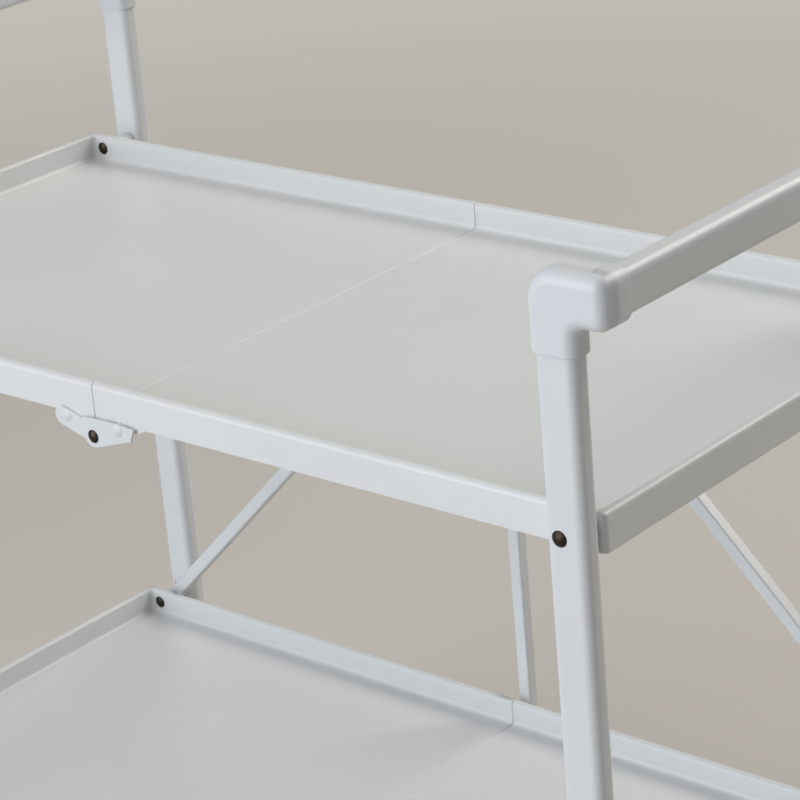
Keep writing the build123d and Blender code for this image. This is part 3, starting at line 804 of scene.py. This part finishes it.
for side, sign in SIDES.items():
    rivets, rings = [], []
    for level in LEVELS:
        z = rim_level[level] - PIVOT_DROP
        for end in ENDS:
            length = RIM_WIDTH + leg_gap[end] + tube_thick
            rivet = two_headed(PIVOT_SHANK, length, PIVOT_HEAD, PIVOT_RISE)
            rivets.append(set_out(rivet, end, sign * pivot_x, -RIM_WIDTH, z))
            gaps = [(0.0, leg_gap[end])]
            if (level, end) == ("lower", "back"):
                gaps = [(0.0, BRACE_ROOM[0]), (BRACE_ROOM[1], leg_gap[end])]
            for start, stop in gaps:
                spacer = ring(SPACER, SPACER_BORE, stop - start)
                rings.append(set_out(spacer, end, sign * pivot_x, start, z))
    finish_piece(gather(rivets), f"{side}_pivot_rivet_turnings", f"{side}_pivot_rivets", bronze)
    finish_piece(gather(rings), f"{side}_pivot_spacer_tubes", f"{side}_pivot_spacers", white_nylon)
print("pivot rivets:", 8)

# %% [markdown]
# ## Centre hinges
# The halves fold about pins below their rims. A lobed leaf on the left and
# a pointed leaf on the right, both painted with the tray, turn on a dark
# pin. Each is a plate wrapped round its holes, with softened rims. Paint
# fills the edges of the rivet heads, so they are only low soft bumps.

# %% Hinge leaves and their rivets
LEAF, LEAF_GAP, LEAF_SOFT = 2.0, 0.1, 0.45
LEAF_PAIR = 2 * LEAF + LEAF_GAP
LEAF_START = {"left": 0.0, "right": LEAF + LEAF_GAP}
# Rounds are (x, z, radius), seen from the pin.
LEAF_ROUNDS = {
    "left": [(0.0, 0.0, 7.5), (-32.4, 8.8, 7.4)],
    "right": [
        (-0.6, 0.0, 8.8),
        (37.0, 3.8, 0.9),
        (40.6, 12.0, 0.9),
        (25.5, 9.5, 4.8),
        (-8.0, 13.0, 0.6),
    ],
}
RIVET_SPOT = {"left": (-27.4, 10.2), "right": (25.5, 9.5)}
SHANK, INNER_HEAD, HEAD, COLLAR = 2.5, 3.7, 5.0, 5.0
INNER_RISE, PAINTED_RISE, PAINTED_LIP, PIN_RISE = 1.2, 1.3, 0.05, 2.2
SEAT = 2.5  # from a rivet's inner head to the tray's face


def between(end, start, stop):
    """Two Y places outside a tray's face, lowest first."""
    return sorted(face_y[end] + ENDS[end] * d for d in (start, stop))


def leaf_rivet(start):
    """A rivet that holds a leaf this far from the tray's face, with a collar in the gap."""
    profile = [(0, SEAT - INNER_RISE), (INNER_HEAD, SEAT - INNER_RISE), (INNER_HEAD, SEAT)]
    if start:
        profile += [(COLLAR, SEAT), (COLLAR, SEAT + start), (SHANK, SEAT + start)]
    else:
        profile += [(SHANK, SEAT)]
    top = SEAT + start + LEAF
    return lathe(profile + [(SHANK, top)] + dome(HEAD, top, PAINTED_RISE, lip=PAINTED_LIP))


test_rivet = leaf_rivet(LEAF_START["right"])
print("a leaf rivet has", len(test_rivet.faces), "faces")
test_rivet.free()

# %% [markdown]
# Behind each leaf a strip is welded inside the rim. Below the flange it
# shows as a tapered tab, with a round ear where the leaf's rivet goes
# through.

# %% Brackets
BRACKET_FAR = {"left": (30.0, 32.0), "right": (41.5, 49.0)}  # the tab's foot, and its top
BRACKET_NEAR, STRIP_HEIGHT, TAB_DROP, TAB_ROUND, EAR = 12.0, 13.0, 3.5, 0.6, 4.5
STRIP_LAYER, TAB_LAYER = (-2.4, -0.9), (-2.4, 0.0)


def bracket(side, end, flange_low):
    foot, far = BRACKET_FAR[side]
    tip = flange_low - TAB_DROP
    low_y, high_y = between(end, *STRIP_LAYER)
    strip = block((BRACKET_NEAR, low_y, flange_low), (far, high_y, flange_low + STRIP_HEIGHT))
    low_y, high_y = between(end, *TAB_LAYER)
    rounds = [
        (BRACKET_NEAR + TAB_ROUND, tip, TAB_ROUND),
        (foot, tip, TAB_ROUND),
        (far, flange_low, 0.0),
        (BRACKET_NEAR, flange_low, 0.0),
    ]
    tab = wrapped_plate(rounds, low_y, high_y)
    spot_x, spot_z = RIVET_SPOT[side]
    ear_z = spot_z - PIN_BELOW_FLANGE
    ear = wrapped_plate([(abs(spot_x), flange_low + ear_z, EAR)], low_y, high_y)
    cut = cut_across(ear, 2, flange_low, clear_outer=True)["geom_cut"]
    bmesh.ops.holes_fill(ear, edges=[g for g in cut if isinstance(g, bmesh.types.BMEdge)])
    whole = gather([strip, tab, ear])
    bmesh.ops.scale(whole, vec=(SIDES[side], 1, 1), verts=whole.verts)
    return whole


test_bracket = bracket("left", "front", rim_level["upper"] - FLANGE_HEIGHT)
print("a bracket has", len(test_bracket.faces), "faces")
test_bracket.free()

# %% [markdown]
# The front pin holds only the two leaves. The back pin is longer, because
# it also carries the strut, and a short spacer keeps the strut off them.

# %% The four hinges
PIN_LENGTH = {"front": LEAF_PAIR, "back": 22.0}
HINGE_SPACER, HINGE_BORE, SPACER_STOP = 5.0, 2.55, 10.0

for level in LEVELS:
    pin_z = rim_level[level] - HINGE_DROP
    flange_low = rim_level[level] - FLANGE_HEIGHT
    for side in SIDES:
        name = f"{level}_{side}"
        leaves, rivets, brackets = [], [], []
        start = LEAF_START[side]
        spot_x, spot_z = RIVET_SPOT[side]
        for end in ENDS:
            layer = between(end, start, start + LEAF)
            plate = wrapped_plate(LEAF_ROUNDS[side], *layer, soft=LEAF_SOFT)
            bmesh.ops.translate(plate, vec=(0, 0, pin_z), verts=plate.verts)
            leaves.append(plate)
            rivets.append(set_out(leaf_rivet(start), end, spot_x, -SEAT, pin_z + spot_z))
            brackets.append(bracket(side, end, flange_low))
        finish_piece(gather(leaves), f"{name}_leaf_plates", f"{name}_hinge_leaves", coated_tube)
        finish_piece(
            gather(rivets), f"{name}_leaf_rivet_turnings", f"{name}_leaf_rivets", coated_tube
        )
        finish_piece(
            gather(brackets), f"{name}_bracket_strips", f"{name}_hinge_brackets", coated_sheet
        )
    pins = []
    for end, length in PIN_LENGTH.items():
        inner = [(0, -INNER_RISE), (INNER_HEAD, -INNER_RISE), (INNER_HEAD, 0)]
        profile = inner + [(SHANK, 0), (SHANK, length)] + dome(HEAD, length, PIN_RISE)
        pins.append(set_out(lathe(profile), end, 0, 0, pin_z))
    finish_piece(gather(pins), f"{level}_hinge_pin_turnings", f"{level}_hinge_pins", bronze)
    tube = ring(HINGE_SPACER, HINGE_BORE, SPACER_STOP - 2 * LEAF - LEAF_GAP)
    set_out(tube, "back", 0, LEAF_PAIR, pin_z)
    finish_piece(tube, f"{level}_hinge_spacer_tube", f"{level}_hinge_spacer", white_nylon)
print("hinges:", 4)

# %% [markdown]
# ## Strut, braces and sliding collar
# Square tubes with their ends rounded round the pins. Cuts across the tube
# keep its faces short, because a mesh of very long thin faces shades
# unevenly. The end faces are taken away before the wall gets its thickness,
# so the ends are open as on the real tubes.

# %% Square tubes
STAY, STAY_END, STAY_CORNER, STAY_STEP, STAY_SHEET = 12.0, 7.0, 2.0, 25.0, 1.0
LUG_REACH = 17.0  # from the strut's line to a stud, and from the hinge pin down to it


def stay(length):
    """A square tube up the Z axis, with its pins at z = 0 and at its length."""
    half = STAY / 2
    bm = block((-half, -half, -STAY_END), (half, half, length + STAY_END))
    tips = along(bm, 1, lambda p: abs(p.x) > half - 1)
    round_off(bm, tips, half - 0.02, segments=8)
    rims = edges_where(bm, lambda p, way: abs(abs(p.y) - half) < 0.01 and abs(way.y) < 0.01)
    round_off(bm, rims, STAY_CORNER, segments=4)
    steps = math.ceil(length / STAY_STEP)
    for step in range(steps + 1):
        cut_across(bm, 2, length * step / steps)
    caps = [
        face
        for face in bm.faces
        if abs(face.normal.z) > 0.3
        and abs(face.calc_center_median().y) < half - STAY_CORNER
        and not -1 < face.calc_center_median().z < length + 1
    ]
    bmesh.ops.delete(bm, geom=caps, context="FACES")
    return bm


def place_stay(length, lean, x, z, name, node):
    """Lays a tube from its lower pin, leaning this many degrees, and finishes it."""
    bm = stay(length)
    spot = Matrix.Translation((x, face_y["back"] + STRUT_LINE, z))
    turn = Matrix.Rotation(math.radians(lean), 4, "Y")
    bmesh.ops.transform(bm, matrix=spot @ turn, verts=bm.verts)
    finish_piece(bm, name, node, coated_tube, sheet=STAY_SHEET)


lug_z = rim_level["upper"] - HINGE_DROP - LUG_REACH
foot_z = rim_level["lower"] - PIVOT_DROP
brace_length = math.hypot(pivot_x - LUG_REACH, lug_z - foot_z)
brace_lean = math.degrees(math.atan2(pivot_x - LUG_REACH, lug_z - foot_z))
strut_length = rim_level["upper"] - rim_level["lower"]
strut_foot = rim_level["lower"] - HINGE_DROP
place_stay(strut_length, 0, 0, strut_foot, "back_strut_tube", "back_strut")
for side, sign in SIDES.items():
    lean, x = -sign * brace_lean, sign * pivot_x
    place_stay(brace_length, lean, x, foot_z, f"{side}_brace_tube", f"{side}_brace")
print("braces", round(brace_length, 1), "mm long, leaning", round(brace_lean, 2), "degrees")

# %% [markdown]
# The collar wraps the strut and slides down it when the cart folds. It
# could be one bored block. Two cheeks, two webs and a pair of ears are
# simpler to draw and to round, and they overlap as in one moulding. Dark
# studs hold the braces to the ears.

# %% Collar and studs
CHEEK_IN, CHEEK_OUT, CHEEK_X, CHEEK_Z = 6.2, 9.7, 10, 11
CHEEK_ROUND, EAR_RADIUS, EAR_SOFT = 1.2, 7.0, 1.0
WEB_IN, WEB_OUT, WEB_HALF = 6.15, 10.0, 6.4
STUD, STUD_LENGTH, STUD_HEAD, STUD_RISE = 3.0, 3.5, 4.5, 2.0


def collar():
    """Two cheeks with ears, in front of and behind the strut, joined by two webs."""
    parts = []
    for sign in (-1, 1):
        low_y, high_y = sorted((sign * CHEEK_IN, sign * CHEEK_OUT))
        rounds = [(x * LUG_REACH, 0.0, EAR_RADIUS) for x in (-1, 1)]
        parts.append(wrapped_plate(rounds, low_y, high_y, soft=EAR_SOFT))
        cheek = block((-CHEEK_X, low_y, -CHEEK_Z), (CHEEK_X, high_y, CHEEK_Z))
        outer = edges_where(cheek, lambda p, way: abs(p.y) > CHEEK_OUT - 0.1)
        round_off(cheek, outer, CHEEK_ROUND, segments=3)
        parts.append(cheek)
        low_x, high_x = sorted((sign * WEB_IN, sign * WEB_OUT))
        parts.append(block((low_x, -WEB_HALF, -CHEEK_Z), (high_x, WEB_HALF, CHEEK_Z)))
    return gather(parts)


strut_y = face_y["back"] + STRUT_LINE
slide = collar()
bmesh.ops.translate(slide, vec=(0, strut_y, lug_z), verts=slide.verts)
finish_piece(slide, "brace_collar_moulding", "brace_collar", white_nylon)
studs = []
for sign in (-1, 1):
    for face in (-1, 1):
        profile = [(0, 0), (STUD, 0), (STUD, STUD_LENGTH)]
        stud = lathe(profile + dome(STUD_HEAD, STUD_LENGTH, STUD_RISE))
        spot = Matrix.Translation((sign * LUG_REACH, strut_y + face * CHEEK_IN, lug_z))
        turn = Matrix.Rotation(-face * math.pi / 2, 4, "X")
        bmesh.ops.transform(stud, matrix=spot @ turn, verts=stud.verts)
        studs.append(stud)
finish_piece(gather(studs), "collar_stud_turnings", "collar_studs", bronze)
print("collar slides at", round(lug_z, 1), "mm")

# %% [markdown]
# ## Casters
# A moulded yoke hangs on a swivel race under each leg, and trails its wheel
# inwards. The yoke is two cheeks wrapped round the axle and the crown, with
# a crown plate and the race on top. The wheel is one turning in two
# plastics: a pale core and a grey tread.

# %% Yoke and wheel
TRAIL, WHEEL, TREAD_FROM, TREAD_DROP = 17.0, 25.0, 19.5, 2.6
CROWN_LOW, FORK_TOP, STEM_TOP = 53.0, 58.0, 60.0
CROWN_BACK, CROWN_RADIUS, CROWN_HALF = -4.0, 10.2, 12.9
YOKE_IN, YOKE_OUT, YOKE_FOOT, YOKE_SOFT = 10.8, 13.0, 8.0, 0.6
# The wheel's left half, as (radius, distance from the middle): bore, core, step and tread edge.
HALF_WHEEL = [
    (3.05, -10), (9, -10), (9.6, -9.6), (10.5, -7.2), (17.5, -7.2), (18.6, -9.4), (19.2, -10),
    (19.6, -9.7), (20.0, -10), (21.6, -10), (22.4, -9.6),
]


def yoke():
    """A yoke over the origin, with its wheel's axle towards +Y."""
    parts = []
    quarter = Matrix.Rotation(math.pi / 2, 3, "Z")
    for sign in (-1, 1):
        low, high = sorted((sign * YOKE_IN, sign * YOKE_OUT))
        rounds = [
            (TRAIL, WHEEL, YOKE_FOOT),
            (CROWN_BACK, FORK_TOP, 0.0),
            (CROWN_BACK, CROWN_LOW, 0.0),
            (CROWN_RADIUS, FORK_TOP, 0.0),
        ]
        cheek = wrapped_plate(rounds, low, high, soft=YOKE_SOFT)
        bmesh.ops.rotate(cheek, cent=(0, 0, 0), matrix=quarter, verts=cheek.verts)
        parts.append(cheek)
    low, high = (-CROWN_HALF, CROWN_BACK, CROWN_LOW), (CROWN_HALF, CROWN_RADIUS, FORK_TOP)
    crown = block(low, high)
    round_off(crown, along(crown, 2, lambda p: p.y > 0), 1.0, segments=2)
    parts.append(crown)
    race = [(9.6, CROWN_LOW), (10.2, CROWN_LOW + 0.6), (10.2, FORK_TOP - 0.6), (9.6, FORK_TOP)]
    parts.append(lathe([(0, CROWN_LOW), *race, (0, FORK_TOP)]))
    stem = [(7.8, FORK_TOP - 0.1), (7.8, STEM_TOP - 0.4), (7.4, STEM_TOP)]
    parts.append(lathe([(0, FORK_TOP - 0.1), *stem, (0, STEM_TOP)]))
    return gather(parts)


def wheel():
    """A wheel round the Z axis, with a slightly crowned tread."""
    heights = (-8.0, -6.0, -3.5, 0, 3.5, 6.0, 8.0)
    tread = [(WHEEL - TREAD_DROP * (h / 9.6) ** 2, h) for h in heights]
    other_half = [(r, -h) for r, h in reversed(HALF_WHEEL)]
    return lathe(HALF_WHEEL + tread + other_half + [HALF_WHEEL[0]], steps=64)


test_wheel = wheel()
print("a wheel has", len(test_wheel.faces), "faces")
test_wheel.free()

# %% [markdown]
# Each caster is drawn over the origin and then turned into place, the back
# pair the other way round. The yoke and the wheel stay separate objects,
# because one swivels and the other rolls. The wheel is one mesh with two
# materials, which change where the tread starts.

# %% The four casters
AXLE, AXLE_HEAD, AXLE_RISE = 3, 5.0, 1.6

for side, sign in SIDES.items():
    for end in ENDS:
        name = f"{side}_{end}_caster"
        turn = Matrix.Translation((sign * leg_x, leg_y[end], 0))
        if end == "back":
            turn = turn @ Matrix.Rotation(math.pi, 4, "Z")
        hub = turn @ Matrix.Translation((0, TRAIL, WHEEL)) @ Matrix.Rotation(math.pi / 2, 4, "Y")
        fork = yoke()
        bmesh.ops.transform(fork, matrix=turn, verts=fork.verts)
        finish_piece(fork, f"{name}_yoke", f"{name}_fork", white_nylon)
        disc = wheel()
        for face in disc.faces:
            out = math.hypot(*face.calc_center_median().xy)
            face.material_index = 1 if out > TREAD_FROM else 0
        bmesh.ops.transform(disc, matrix=hub, verts=disc.verts)
        finish_piece(disc, f"{name}_tyre", f"{name}_wheel", [grey_hub, grey_rubber])
        head = dome(AXLE_HEAD, YOKE_OUT, AXLE_RISE)
        other_head = [(r, -h) for r, h in reversed(head)]
        pin = lathe(other_head + [(AXLE, -YOKE_OUT), (AXLE, YOKE_OUT)] + head)
        bmesh.ops.transform(pin, matrix=hub, verts=pin.verts)
        finish_piece(pin, f"{name}_axle_pin", f"{name}_axle", zinc)
print("casters:", 4)

# %% [markdown]
# A moulded plug closes the foot of each leg and holds the caster's stem.
# Only its edge shows, so it is a rounded slab as wide as the leg.

# %% Foot plugs
PLUG_LOW, PLUG_HIGH = 60, 63

for side, sign in SIDES.items():
    plugs = []
    for end in ENDS:
        x, y = sign * leg_x, leg_y[end]
        low = (x - tube_wide / 2, y - tube_thick / 2, PLUG_LOW)
        high = (x + tube_wide / 2, y + tube_thick / 2, PLUG_HIGH)
        plugs.append(rounded_tube(low, high, 2, TUBE_CORNER))
    finish_piece(gather(plugs), f"{side}_foot_plug_mouldings", f"{side}_foot_plugs", white_nylon)
print("foot plugs:", 4)
